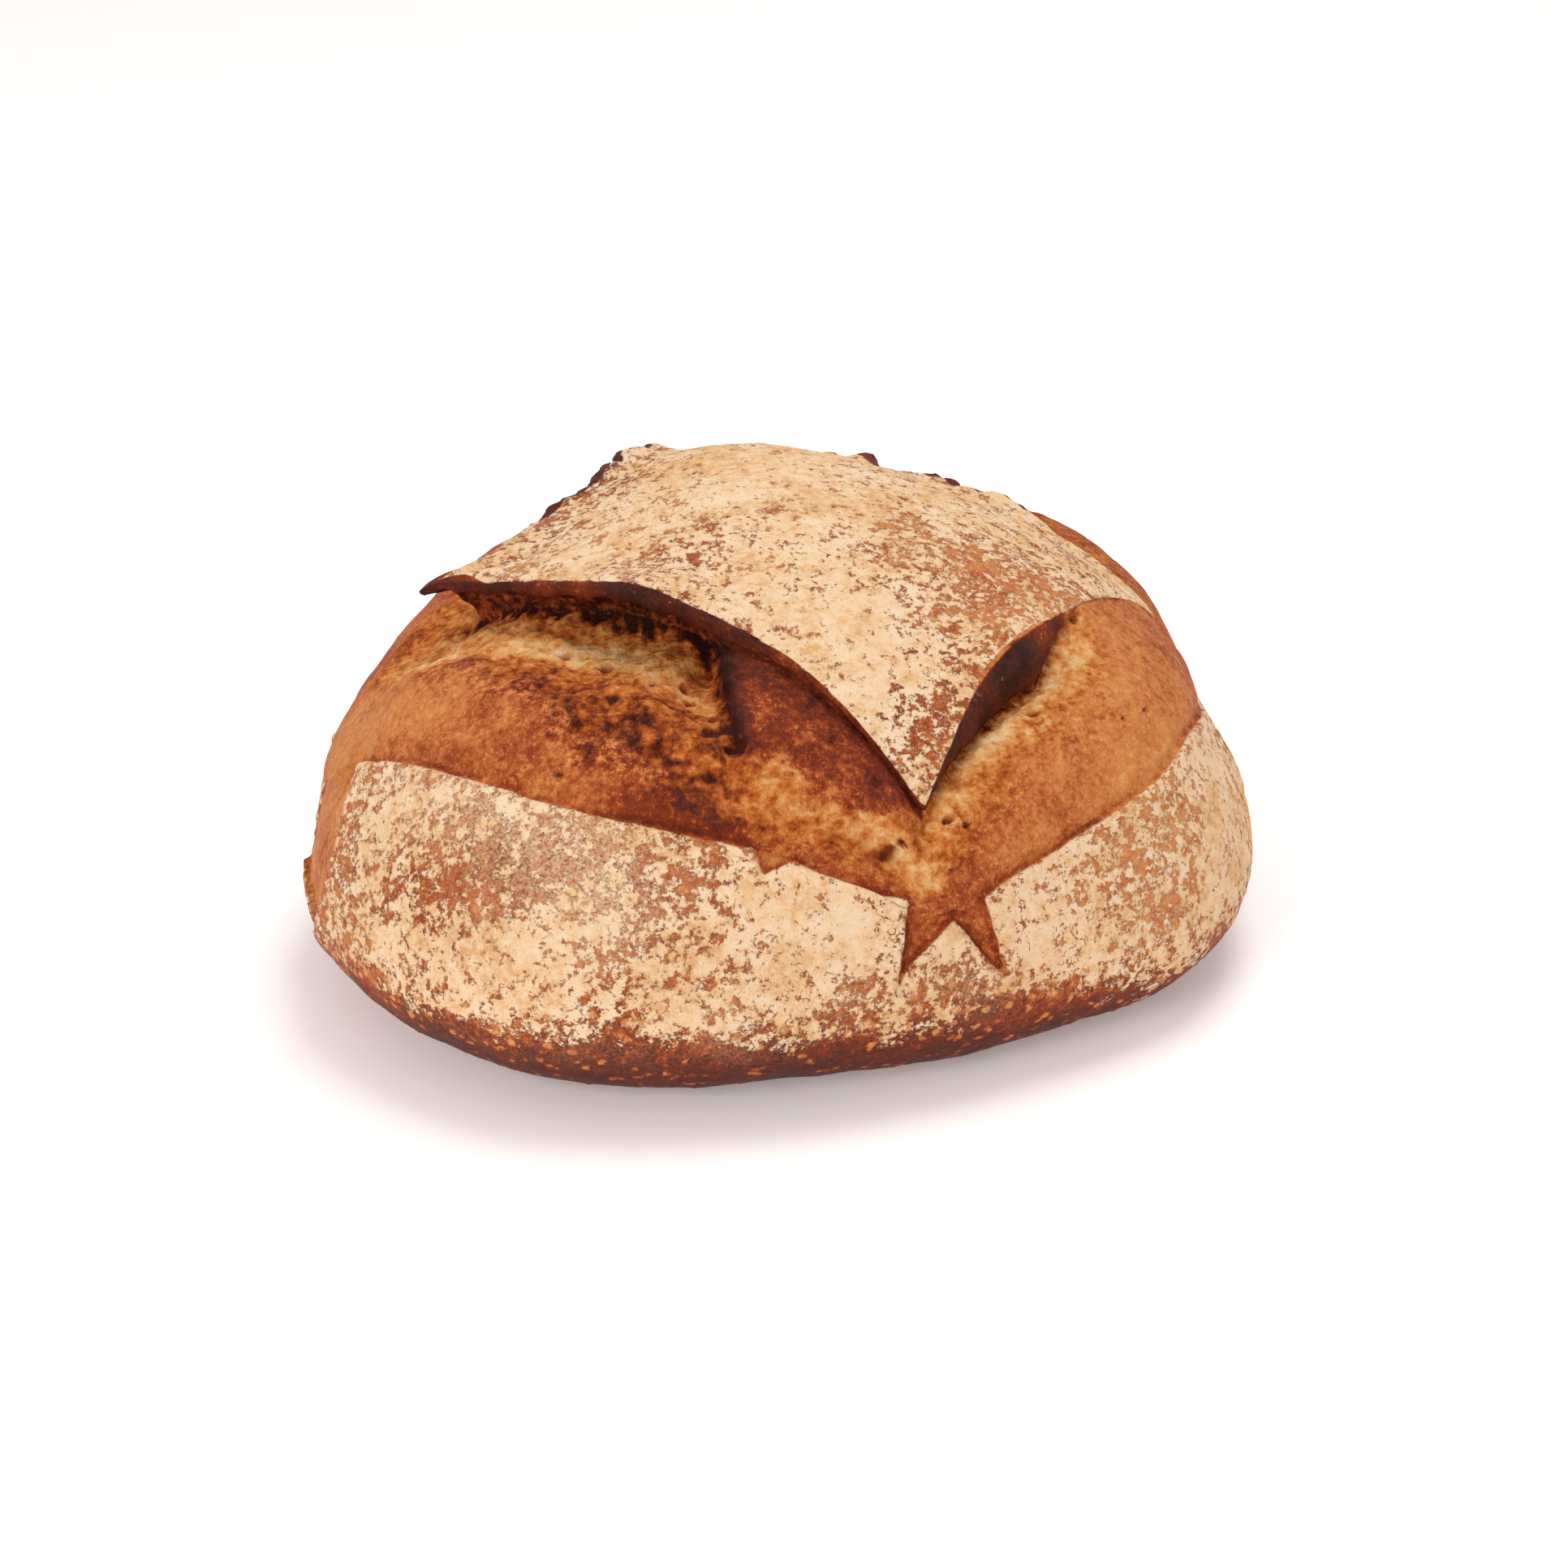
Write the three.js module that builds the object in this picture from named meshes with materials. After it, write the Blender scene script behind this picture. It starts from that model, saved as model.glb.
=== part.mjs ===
// A round country sourdough loaf, scored with four crossing cuts.
// The cuts leave a four-cornered cap of floury skin on top. In the oven the bread tears open
// along them: the rim of the cap lifts into ears, and between the ears and the skin of the wall
// lies a broad opened band. The loaf is one body of bread that rests on a flat base.
// Millimetres, +Z up, origin at the middle of the base. Azimuth 0 is +X and 90 is +Y.
import * as THREE from 'three';

// Driving dimensions, mm
const CROWN_HEIGHT = 118;        // top of the plain dome that everything is set off from
const CAP_CROWN = 1;             // the middle of the cap stands this far above the dome
const GIRTH_HEIGHT = 27;         // where the wall is widest
const FOOT_RATIO = 0.74;         // outline of the flat base over the outline of the girth
const DOME_POWER = 1.95;         // 2 would be an ellipse, less is a little more pointed

// Half widths of the girth at every 30 degrees of azimuth, from +X
const GIRTH = [119, 117, 109, 111, 116, 116, 122, 139, 141, 123, 117, 125];

// Corners of the cap, where the cuts cross: azimuth, and degrees down the dome from its top
const CAP_CORNERS = [[2, 54], [105, 55], [192, 46], [287.2, 60]];
// How far each side of the cap bows in towards the top, near its start and near its end, in
// degrees down the dome
const CAP_BOWS = [[6, 6], [5, 5], [9, 4], [4.6, 8.6]];

// Upper edge of the wall's skin: azimuth, and degrees down the dome
const WALL_EDGE = [
  [5, 73], [28, 65], [58, 63], [85, 67], [105, 74], [128, 67], [155, 63], [178, 68],
  [199, 73], [208, 64], [225, 57.5], [243, 57.5], [262, 62], [277, 69], [290, 76], [298, 72],
  [307, 69], [320, 65], [335, 62], [350, 66],
];

// Where the cap rose and sank as it baked: azimuth, degrees down, reach in mm, and height in mm
const SWELLS = [[133, 22.8, 34, 3.4], [30, 33.4, 44, -2.4]];
const MM_PER_DEGREE = 1.8;       // along the dome, from its top down

// Where the crust sank beside the cuts: azimuth, reach in degrees round, degrees down, reach in
// degrees down, and depth in mm
const DENTS = [[8, 44, 69, 22, 7.5], [199, 12, 58, 14, 3.5]];

// The opening round the loaf, mm: azimuth, lift of the ear, thickness of its lip, how far it is
// undercut, how deep the opening lies below the dome, and how far the foot of the lip leans out
const EARS = [
  [6, 0.6, 1.5, 0.5, 1.5, 0.3], [18, 1.5, 3, 3, 8, 0], [34, 2.4, 4.5, 6, 12, 0],
  [60, 1.6, 4.5, 7, 12, 0], [84, 2, 4, 5, 10, 0], [105, 3.5, 3, 1, 5, 0],
  [124, 5, 4, 5, 10, 0], [145, 4, 5, 7, 12, 0], [172, 3.5, 5, 7, 11, 0],
  [192, 5.5, 4.5, 5, 8, 0], [206, 1.8, 3, 6.5, 11, 0], [222, 3.4, 3.4, 8, 12.5, 0],
  [238, 5.4, 4.6, 8, 13.5, 0], [248, 3.8, 5, 7, 13, 0.8], [254, 2.2, 3.6, 0.8, 4.2, 3],
  [266, 1.2, 2.2, 0.4, 2.4, 2.2], [287.2, 0.4, 1.2, 0.3, 2.4, 0.5], [296, 1.6, 6, 0.5, 7.5, 5],
  [308, 2.2, 9.5, 0.6, 9.5, 8], [319, 2.4, 10, 0.5, 9.5, 8], [326, 1.2, 4.5, 0.4, 5, 3.5],
  [333, 0.3, 1.2, 0.3, 1.2, 0.8], [348, 0.1, 0.8, 0.2, 0.3, 0.3],
];
const BAND_SWELL = 2.2;          // how far the middle of the opened band bulges over the dome

// Rows of the surface from the top down: share of the way across the cap, the band, the wall
// down to the girth, the rounded foot below it, and the flat base
const CAP_ROWS = [0, 0.16, 0.32, 0.47, 0.61, 0.74, 0.85, 0.94];
const BAND_ROWS = [0.08, 0.22, 0.36, 0.5, 0.64, 0.78, 0.9, 0.98];
const WALL_ROWS = [0.04, 0.25, 0.5, 0.75, 1];
const FOOT_ROWS = [0.18, 0.36, 0.54, 0.7, 0.85, 1];
const BASE_ROWS = [0.66, 0.33, 0];
const COLUMNS = 72;

const { clamp, degToRad, radToDeg, lerp, smoothstep } = THREE.MathUtils;
const wrap = (azimuth) => ((azimuth % 360) + 360) % 360;
const bump = (value, reach) => 1 - smoothstep(Math.abs(value), 0, reach);

// A place on the dome rolled out flat, in degrees down from its top
const flat = ([turn, down]) => {
  const place = new THREE.Vector2(down, 0);
  return place.rotateAround(new THREE.Vector2(), degToRad(turn));
};

// Slope at the middle one of three stations
function slopeAt(before, here, after, item) {
  const back = wrap(here[0] - before[0]);
  const on = wrap(after[0] - here[0]);
  const rise = back * back * (after[item] - here[item]) + on * on * (here[item] - before[item]);
  return rise / (back * on * (back + on));
}

// A value that runs smoothly round the loaf through a list of [azimuth, value, ...] stations
function around(stations, azimuth, item = 1) {
  const found = stations.findIndex((station) => station[0] > azimuth);
  const last = (found < 0 ? 0 : found) - 1;
  const [before, behind, ahead, after] = [-1, 0, 1, 2].map((step) => (
    stations.at((last + step) % stations.length)
  ));
  const gap = wrap(ahead[0] - behind[0]);
  const u = wrap(azimuth - behind[0]) / gap;
  const leaving = u * (1 - u) ** 2 * slopeAt(before, behind, ahead, item);
  const arriving = u * u * (1 - u) * slopeAt(behind, ahead, after, item);
  return lerp(behind[item], ahead[item], smoothstep(u, 0, 1)) + (leaving - arriving) * gap;
}

// Half width of the girth: a closed smooth curve through the twelve sizes
function girth(azimuth) {
  const place = wrap(azimuth) / 30;
  const first = Math.floor(place);
  const [a, b, c, d] = [-1, 0, 1, 2].map((step) => GIRTH.at((first + step) % GIRTH.length));
  const t = place - first;
  return b + 0.5 * t * (c - a + t * (2 * a - 5 * b + 4 * c - d + t * (3 * (b - c) + d - a)));
}

// Degrees down the dome where the cap ends: four bowed sides that meet at sharp corners
function capEdge(azimuth) {
  const side = CAP_CORNERS.findIndex((corner, i) => {
    const next = CAP_CORNERS[(i + 1) % CAP_CORNERS.length];
    return wrap(azimuth - corner[0]) < wrap(next[0] - corner[0]);
  });
  const start = flat(CAP_CORNERS[side]);
  const end = flat(CAP_CORNERS[(side + 1) % CAP_CORNERS.length]);
  const inward = new THREE.Vector2(start.y - end.y, end.x - start.x).normalize();
  const [first, second] = CAP_BOWS[side].map((bow, i) => (
    start.clone().lerp(end, (i + 1) / 3).addScaledVector(inward, bow / 0.75)
  ));
  const curve = new THREE.CubicBezierCurve(start, first, second, end);
  let [low, high] = [0, 1];
  for (let halving = 0; halving < 20; halving += 1) {
    const half = (low + high) / 2;
    const turned = radToDeg(curve.getPoint(half).angle());
    if (wrap(azimuth - turned) < 180) low = half;
    else high = half;
  }
  return curve.getPoint(low).length();
}

// A point of the plain dome, from the top (0 degrees down) to the girth (90 degrees down)
function dome(azimuth, down) {
  const dent = DENTS.reduce((sum, [turn, turnReach, low, lowReach, depth]) => (
    sum + depth * bump(wrap(azimuth - turn + 180) - 180, turnReach) * bump(down - low, lowReach)
  ), 0);
  const across = girth(azimuth) * Math.sin(degToRad(down)) ** (2 / DOME_POWER) - dent;
  const up = Math.max(Math.cos(degToRad(down)), 0) ** (2 / DOME_POWER);
  return new THREE.Vector3(
    across * Math.cos(degToRad(azimuth)),
    across * Math.sin(degToRad(azimuth)),
    lerp(GIRTH_HEIGHT, CROWN_HEIGHT, up),
  );
}

// A point set off from the dome: outwards, and down along it
function offset(azimuth, down, out, along = 0) {
  if (down === 0) return new THREE.Vector3(0, 0, CROWN_HEIGHT + out);
  const step = 0.5;
  const slope = dome(azimuth, down + step).sub(dome(azimuth, Math.max(down - step, 0))).normalize();
  const side = new THREE.Vector3(-Math.sin(degToRad(azimuth)), Math.cos(degToRad(azimuth)), 0);
  const normal = slope.clone().cross(side).normalize();
  return dome(azimuth, down).addScaledVector(normal, out).addScaledVector(slope, along);
}

// How far the cap has risen or sunk at a place on it
function swell(azimuth, down) {
  return SWELLS.reduce((sum, [turn, low, reach, height]) => {
    const away = flat([azimuth, down]).distanceTo(flat([turn, low])) * MM_PER_DEGREE;
    return sum + height * Math.exp(-((away / reach) ** 2));
  }, 0);
}

// The floury cap: crowned in the middle, turned up along its rim
function capProfile(azimuth, edge, lift) {
  return CAP_ROWS.map((share) => {
    const crown = CAP_CROWN * (1 - share * share) + swell(azimuth, edge * share);
    return offset(azimuth, edge * share, crown + lift * smoothstep(share, 0.66, 1));
  });
}

// The ear: the rounded lip of the cap, and the hollow torn out under it
function earProfile(azimuth, edge, [lift, thickness, undercut, depth, lean]) {
  const top = lift + swell(azimuth, edge);
  return [
    offset(azimuth, edge, top, -0.3),
    offset(azimuth, edge, top - 0.4 * thickness, 0.3 * thickness + 0.3 * lean),
    offset(azimuth, edge, top - thickness, lean),
    offset(azimuth, edge, lerp(top - thickness, -depth, 0.5), lean - 0.7 * undercut),
    offset(azimuth, edge, -depth, lean - undercut),
  ];
}

// The opened band: it rises from the hollow to a bulging ridge and meets the skin of the wall
function bandProfile(azimuth, edge, skin, [, , undercut, depth, lean]) {
  return BAND_ROWS.map((share) => {
    const hollow = depth * (1 - smoothstep(share, 0, 0.6));
    const ridge = BAND_SWELL * Math.sin(Math.PI * clamp((share - 0.3) / 0.75, 0, 1));
    const tucked = (lean - undercut) * (1 - smoothstep(share, 0, 0.3));
    return offset(azimuth, lerp(edge, skin, share), ridge - hollow, tucked);
  });
}

// The wall, from the crisp edge of its skin down to the girth
function wallProfile(azimuth, skin) {
  return WALL_ROWS.map((share) => {
    const crisp = 0.8 * (1 - smoothstep(share, 0, 0.4));
    return offset(azimuth, lerp(skin, 90, share), crisp);
  });
}

// The foot rolled in under the girth, and the flat base
function footProfile(azimuth) {
  const foot = FOOT_ROWS.map((share) => {
    const turn = share * Math.PI / 2;
    const ratio = FOOT_RATIO + (1 - FOOT_RATIO) * Math.cos(turn);
    return [ratio, GIRTH_HEIGHT * (1 - Math.sin(turn))];
  });
  const base = BASE_ROWS.map((share) => [FOOT_RATIO * share, 0]);
  return [...foot, ...base].map(([ratio, height]) => {
    const point = dome(azimuth, 90).multiplyScalar(ratio);
    return point.setZ(height);
  });
}

// One whole profile, from the middle of the cap to the middle of the base
function profile(azimuth) {
  const edge = capEdge(azimuth);
  const skin = around(WALL_EDGE, azimuth);
  const ear = [1, 2, 3, 4, 5].map((item) => around(EARS, azimuth, item));
  return [
    ...capProfile(azimuth, edge, ear[0]),
    ...earProfile(azimuth, edge, ear),
    ...bandProfile(azimuth, edge, skin, ear),
    ...wallProfile(azimuth, skin),
    ...footProfile(azimuth),
  ];
}

// The crust: a sphere whose rows and columns are drawn out along the profiles
function crustGeometry() {
  const rows = profile(0).length - 1;
  const geometry = new THREE.SphereGeometry(1, COLUMNS, rows);
  const position = geometry.getAttribute('position');
  for (let column = 0; column <= COLUMNS; column += 1) {
    const azimuth = wrap((360 * column) / COLUMNS);
    profile(azimuth).forEach((point, row) => {
      position.setXYZ(row * (COLUMNS + 1) + column, point.x, point.y, point.z);
    });
  }
  geometry.computeVertexNormals();
  geometry.computeBoundingBox();
  const middle = geometry.boundingBox.getCenter(new THREE.Vector3());
  return geometry.translate(-middle.x, -middle.y, 0);
}

const bakedCrust = new THREE.MeshStandardMaterial({ color: 0xd9a468, roughness: 0.8, metalness: 0 });

const loaf = new THREE.Mesh(crustGeometry(), bakedCrust);
loaf.name = 'loaf';

const sourdoughLoaf = new THREE.Group();
sourdoughLoaf.add(loaf);

export default sourdoughLoaf;
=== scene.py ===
import math

import bpy
import numpy as np
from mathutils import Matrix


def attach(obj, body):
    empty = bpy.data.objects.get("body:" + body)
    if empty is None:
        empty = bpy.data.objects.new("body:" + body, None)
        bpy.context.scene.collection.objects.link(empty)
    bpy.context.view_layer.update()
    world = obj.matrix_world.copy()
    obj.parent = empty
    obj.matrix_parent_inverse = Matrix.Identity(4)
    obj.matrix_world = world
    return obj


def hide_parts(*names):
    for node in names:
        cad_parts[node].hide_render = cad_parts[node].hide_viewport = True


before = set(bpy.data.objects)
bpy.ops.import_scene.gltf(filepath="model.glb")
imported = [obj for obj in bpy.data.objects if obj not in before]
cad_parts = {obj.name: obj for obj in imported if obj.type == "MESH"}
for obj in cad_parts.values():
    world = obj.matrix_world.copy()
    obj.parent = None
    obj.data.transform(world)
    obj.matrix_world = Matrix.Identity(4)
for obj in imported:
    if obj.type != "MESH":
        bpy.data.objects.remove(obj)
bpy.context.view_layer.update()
bpy.ops.object.select_all(action="DESELECT")

# ---------------------------------------------------------------- the table and the light
# The loaf stands on a plain white sweep under soft studio light. The camera looks down on it a
# little, from the side where the two front cuts cross.

MM = 0.001


def srgb(code):
    """A hex colour as the linear colour that a shader takes."""
    parts = [int(code[i:i + 2], 16) / 255 for i in (1, 3, 5)]
    return (*[p / 12.92 if p <= 0.04045 else ((p + 0.055) / 1.055) ** 2.4 for p in parts], 1.0)


def node(tree, kind, inputs=None, **settings):
    """A shader node with its settings, and its sockets set to values or linked to other sockets."""
    made = tree.nodes.new(kind)
    for name, value in settings.items():
        setattr(made, name, value)
    for socket, value in (inputs or {}).items():
        if isinstance(value, bpy.types.NodeSocket):
            tree.links.new(value, made.inputs[socket])
        else:
            made.inputs[socket].default_value = value
    return made


def new_material(name):
    """An empty node material, with its Principled BSDF ready to be set."""
    material = bpy.data.materials.new(name)
    material.use_nodes = True
    return material, material.node_tree, material.node_tree.nodes["Principled BSDF"]


camera_height = math.radians(25)
camera_away = 1025 * MM
look_at = np.array([0, -9.5, 41.5]) * MM
camera_back = np.array([0, -math.cos(camera_height), math.sin(camera_height)])
bpy.ops.object.camera_add(location=look_at + camera_away * camera_back)
camera = bpy.context.object
camera.name = "studio_camera"
camera.rotation_euler = (math.pi / 2 - camera_height, 0, 0)
camera.data.lens = 90
camera.data.sensor_width = 36
camera.data.clip_start = 0.05
bpy.context.scene.camera = camera

bpy.ops.mesh.primitive_plane_add(size=8)
table_top = bpy.context.object
table_top.name = "white_sweep"
white_paper, tree, shader = new_material("matt_white_paper")
shader.inputs["Base Color"].default_value = srgb("#FCF4F2")
shader.inputs["Emission Color"].default_value = srgb("#FFF4F1")
shader.inputs["Emission Strength"].default_value = 0.22
shader.inputs["Roughness"].default_value = 0.6
table_top.data.materials.append(white_paper)

studio = bpy.data.worlds.new("white_studio")
studio.use_nodes = True
studio.node_tree.nodes["Background"].inputs["Color"].default_value = (1, 1, 1, 1)
studio.node_tree.nodes["Background"].inputs["Strength"].default_value = 0.58
bpy.context.scene.world = studio


def soft_light(name, place, size, power):
    """A square softbox that faces the middle of the loaf."""
    bpy.ops.object.light_add(type="AREA", location=place)
    light = bpy.context.object
    light.name = name
    light.data.size = size
    light.data.energy = power
    aim = np.array([0, 0, 0.06]) - np.array(place)
    light.rotation_euler = (
        math.pi / 2 + math.atan2(aim[2], math.hypot(aim[0], aim[1])),
        0,
        math.atan2(aim[1], aim[0]) - math.pi / 2,
    )
    light.select_set(False)


soft_light("overhead_softbox", (0.3, 0.35, 1.5), 0.7, 11)
soft_light("front_left_softbox", (-0.7, -1.3, 0.8), 0.6, 9)
bpy.context.scene.view_settings.view_transform = "Standard"

# ---------------------------------------------------------------- the shape of the loaf
# One body of bread. It was proved round, turned out on a hot stone and scored with four
# crossing cuts, so a four-cornered cap was lifted off the wall as the bread rose and tore open.
# Its outlines go round by azimuth in degrees, and down the dome in degrees from its top.

crown_height = 118  # top of the plain dome that all is set off from, mm
girth_height = 27  # where the wall is widest, mm
foot_ratio = 0.74  # outline of the flat base over the outline of the girth
dome_power = 1.95  # 2 would be an ellipse, less is a little more pointed
mm_per_degree = 1.8  # along the dome, from its top down

# Half widths of the girth in mm, at every 30 degrees of azimuth from +X
girth_sizes = np.array([119, 117, 109, 111, 116, 116, 122, 139, 141, 123, 117, 125])
# Corners of the cap, where the cuts cross, and how far each side bows in towards the top near
# its start and near its end, in degrees down
cap_corners = [(2, 54), (105, 55), (192, 46), (287.2, 60)]
cap_bows = [(6, 6), (5, 5), (9, 4), (4.6, 8.6)]
# Upper edge of the wall's floury skin: azimuth, and degrees down
wall_edge = [
    (5, 73), (28, 65), (58, 63), (85, 67), (105, 74), (128, 67), (155, 63), (178, 68),
    (199, 73), (208, 64), (225, 57.5), (243, 57.5), (262, 62), (277, 69), (290, 76), (298, 72),
    (307, 69), (320, 65), (335, 62), (350, 66),
]
# Where the crust sank beside the cuts: azimuth, reach in degrees round, degrees down, reach in
# degrees down, and depth in mm
dents = [(8, 44, 69, 22, 7.5), (199, 12, 58, 14, 3.5)]
# Where the cap rose and sank as it baked: place on the rolled-out dome, reach and height, in mm
crown_swells = [((-28, 30), 34, 3.4), ((52, 30), 44, -2.4)]
# Round the opening: azimuth, then in mm the lift of the ear, the thickness of its lip, how far
# it is undercut, how deep the hollow is, and how far the foot of the lip leans out
ears = [
    (6, 0.6, 1.5, 0.5, 1.5, 0.3), (18, 1.5, 3, 3, 8, 0), (34, 2.4, 4.5, 6, 12, 0),
    (60, 1.6, 4.5, 7, 12, 0), (84, 2, 4, 5, 10, 0), (105, 3.5, 3, 1, 5, 0),
    (124, 5, 4, 5, 10, 0), (145, 4, 5, 7, 12, 0), (172, 3.5, 5, 7, 11, 0),
    (192, 5.5, 4.5, 5, 8, 0), (206, 1.8, 3, 6.5, 11, 0), (222, 3.4, 3.4, 8, 12.5, 0),
    (238, 5.4, 4.6, 8, 13.5, 0), (248, 3.8, 5, 7, 13, 0.8), (254, 2.2, 3.6, 0.8, 4.2, 3),
    (266, 1.2, 2.2, 0.4, 2.4, 2.2), (278, 0.6, 1.4, 0.3, 1.8, 1.2),
    (287.2, 0.4, 1.2, 0.3, 2.4, 0.5),
    (296, 1.6, 6, 0.5, 7.5, 5), (308, 2.2, 9.5, 0.6, 9.5, 8), (319, 2.4, 10, 0.5, 9.5, 8),
    (326, 1.2, 4.5, 0.4, 5, 3.5), (333, 0.3, 1.2, 0.3, 1.2, 0.8), (348, 0.1, 0.8, 0.2, 0.3, 0.3),
]


def smoothstep(value, low=0.0, high=1.0):
    """0 up to low, 1 from high on, and a smooth rise between."""
    share = np.clip((value - low) / (high - low), 0, 1)
    return share * share * (3 - 2 * share)


def around(stations, azimuth, item=1):
    """A value that runs smoothly round the loaf through its stations."""
    table = np.array(stations, float)
    places = np.concatenate([table[:, 0] + shift for shift in (-360, 0, 360)])
    values = np.tile(table[:, item], 3)
    slopes = np.gradient(values, places)
    azimuth = azimuth % 360
    i = np.searchsorted(places, azimuth, side="right") - 1
    step = places[i + 1] - places[i]
    u = (azimuth - places[i]) / step
    bend = smoothstep(u)
    rising = u * (1 - u) ** 2 * slopes[i] - u * u * (1 - u) * slopes[i + 1]
    return values[i] + bend * (values[i + 1] - values[i]) + rising * step


def bump(value, middle, width):
    """1 in the middle, falling smoothly to 0 at this distance from it."""
    return 1 - smoothstep(np.abs(value - middle) / width)


def girth(azimuth):
    """Half width of the girth: a closed smooth curve through the twelve sizes."""
    place = (azimuth % 360) / 30
    first = np.floor(place).astype(int)
    a, b, c, d = [girth_sizes[(first + step) % 12] for step in (-1, 0, 1, 2)]
    t = place - first
    return b + 0.5 * t * (c - a + t * (2 * a - 5 * b + 4 * c - d + t * (3 * (b - c) + d - a)))


def flat(azimuth, down):
    """The dome rolled out flat, in mm, so that lengths on it can be measured."""
    turn = np.radians(azimuth)
    return np.stack([np.cos(turn), np.sin(turn)], -1) * np.asarray(down)[..., None] * mm_per_degree


def cap_outline():
    """Azimuths and degrees down of points along the four bowed sides of the cap."""
    sides = []
    for i, bows in enumerate(cap_bows):
        start, end = [flat(*np.array(cap_corners[k % 4], float)) for k in (i, i + 1)]
        along = end - start
        inward = np.array([-along[1], along[0]]) / np.hypot(*along)
        pulls = [
            start + along * (k + 1) / 3 + inward * bow / 0.75 * mm_per_degree
            for k, bow in enumerate(bows)
        ]
        t = np.linspace(0, 1, 60, endpoint=False)[:, None]
        sides.append((1 - t) ** 3 * start + 3 * t * (1 - t) ** 2 * pulls[0]
                     + 3 * t * t * (1 - t) * pulls[1] + t ** 3 * end)
    points = np.concatenate(sides)
    turned = np.degrees(np.arctan2(points[:, 1], points[:, 0])) % 360
    order = np.argsort(turned)
    return turned[order], np.hypot(*points[order].T) / mm_per_degree


cap_turns, cap_downs = cap_outline()


def cap_edge(azimuth):
    """Degrees down the dome where the cap ends."""
    return np.interp(azimuth % 360, cap_turns, cap_downs, period=360)


def dome(azimuth, down):
    """A point of the plain dome, mm: down is 0 at the top and 90 at the girth."""
    fall = np.radians(down)
    across = girth(azimuth) * np.sin(fall) ** (2 / dome_power)
    for turn, turn_reach, low, low_reach, sunk in dents:
        away = (azimuth - turn + 180) % 360 - 180
        across = across - sunk * bump(away, 0, turn_reach) * bump(down, low, low_reach)
    up = np.maximum(np.cos(fall), 0) ** (2 / dome_power)
    turn = np.radians(azimuth)
    height = girth_height + (crown_height - girth_height) * up
    return np.stack([across * np.cos(turn), across * np.sin(turn), height], -1)


def offset(azimuth, down, out, along=0.0):
    """A point set off from the dome, mm: outwards, and down along it."""
    step = 0.5
    slope = dome(azimuth, down + step) - dome(azimuth, np.maximum(down - step, 1e-3))
    slope /= np.linalg.norm(slope, axis=-1, keepdims=True)
    turn = np.radians(azimuth)
    side = np.stack([-np.sin(turn), np.cos(turn), 0 * turn], -1)
    normal = np.cross(slope, side)
    normal[down < 1e-6] = (0, 0, 1)
    out, along = [np.broadcast_to(value, down.shape)[..., None] for value in (out, along)]
    return dome(azimuth, down) + normal * out + slope * along


def grain(points, size, seed):
    """Smooth random lumps of about this size, from -1 to 1."""
    table = np.random.default_rng(seed).uniform(-1, 1, (32, 32, 32))
    place = points / size
    cell = np.floor(place).astype(int)
    x, y, z = np.moveaxis(smoothstep(place - cell), -1, 0)
    i, j, k = np.moveaxis(cell, -1, 0)
    total = np.zeros(points.shape[:-1])
    for corner in range(8):
        dx, dy, dz = corner & 1, corner >> 1 & 1, corner >> 2
        weight = (x if dx else 1 - x) * (y if dy else 1 - y) * (z if dz else 1 - z)
        total += weight * table[(i + dx) % 32, (j + dy) % 32, (k + dz) % 32]
    return total


def rough(points, size, seed, layers=3):
    """Lumps upon smaller lumps, each layer half the size and half the strength."""
    total = sum(grain(points, size / 2 ** n, seed + n) / 2 ** n for n in range(layers))
    return total / (2 - 2 ** (1 - layers)) * 1.6


def holes(points, size, seed, share=1.0):
    """Distance to the nearest of some scattered points, one per cube of this size, in sizes."""
    chance = np.random.default_rng(seed)
    spots = chance.uniform(0, 1, (16, 16, 16, 3))
    spots[chance.uniform(0, 1, (16, 16, 16)) > share] = 9
    place = points / size
    cell = np.floor(place).astype(int)
    nearest = np.full(points.shape[:-1], 9.0)
    for step in np.ndindex(3, 3, 3):
        near = cell + np.array(step) - 1
        spot = near + spots[near[..., 0] % 16, near[..., 1] % 16, near[..., 2] % 16]
        nearest = np.minimum(nearest, np.linalg.norm(place - spot, axis=-1))
    return nearest


# Columns round the loaf, and rows in each of its zones from the top down
columns = 640
cap_rows, lip_rows, hollow_rows, band_rows = 125, 18, 34, 76
wall_rows, foot_rows, base_rows = 80, 46, 22
turns = np.arange(columns) * 360 / columns
edge = cap_edge(turns)
skin = around(wall_edge, turns)
lift, thickness, undercut, depth, lean = [around(ears, turns, item) for item in range(1, 6)]


def shares(count):
    """Even steps from 0 up to but not including 1, as a column."""
    return (np.arange(count) / count)[:, None]


# The rim of the cap isn't even: the ears are ragged, most of all round the back, and the left
# corner curls up into a thin burnt horn
rim = flat(turns, edge)
rim = np.concatenate([rim, 0 * rim[:, :1]], -1)
behind = smoothstep(turns, 8, 30) * (1 - smoothstep(turns, 165, 182))
horn = bump(turns, 192, 7)
lift = lift + 0.5 * rough(rim, 14, 11) + behind * 2.2 * rough(rim, 6, 12) + 5.0 * horn
overhang = 1.5 * horn + behind * (0.8 + 2.0 * rough(rim, 5, 13))
thickness = np.maximum(thickness, 0.6) * (1 - 0.3 * horn) * (1 + 0.25 * rough(rim, 9, 14))
undercut = np.maximum(undercut, 0.2)

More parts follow.
